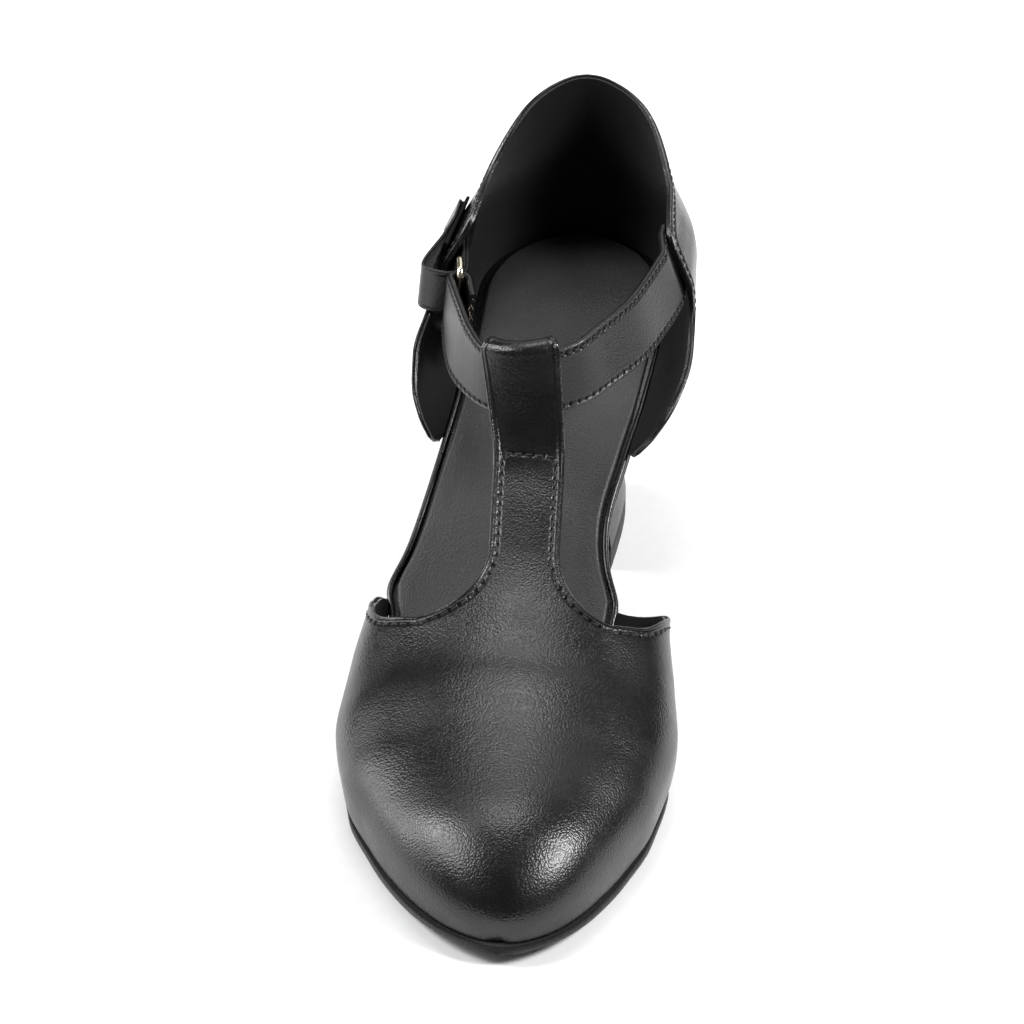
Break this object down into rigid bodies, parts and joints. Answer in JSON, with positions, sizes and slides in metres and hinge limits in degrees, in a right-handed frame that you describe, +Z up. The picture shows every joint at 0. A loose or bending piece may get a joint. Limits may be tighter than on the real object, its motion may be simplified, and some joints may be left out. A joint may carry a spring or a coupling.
{
  "type": "women's T-strap shoe",
  "caption": "Right women's T-strap shoe with a closed back, open waist, flared heel, suede outsole and a hook-and-loop tab through a ring.",
  "frame": {"origin": "centre of the shoe's outline on the floor it stands on", "axes": "+Z up, +Y from the toe to the heel, +X to the inner (medial) side of the right foot"},
  "size_m": [0.0834, 0.2356, 0.1131],
  "materials": {
    "suede": "black napped suede",
    "insole": "dark grey grained insole leather",
    "upper_leather": "black fine-grained leather, soft sheen",
    "quarter_leather": "black fine-grained leather, soft sheen",
    "strap_leather": "black fine-grained leather, edge stitched",
    "hook_and_loop": "black leather outside, hook-and-loop pile inside",
    "ring_metal": "polished pale gold plate",
    "heel_cover": "black leather cover",
    "top_piece_rubber": "matt black"
  },
  "bodies": {
    "root": {"outsole": "suede", "insole": "insole", "upper_vamp": "upper_leather", "upper_quarter": "quarter_leather", "instep_strap": "strap_leather", "closure_tab": "hook_and_loop", "strap_ring": "ring_metal", "heel": "heel_cover", "top_piece": "top_piece_rubber"}
  },
  "joints": []
}
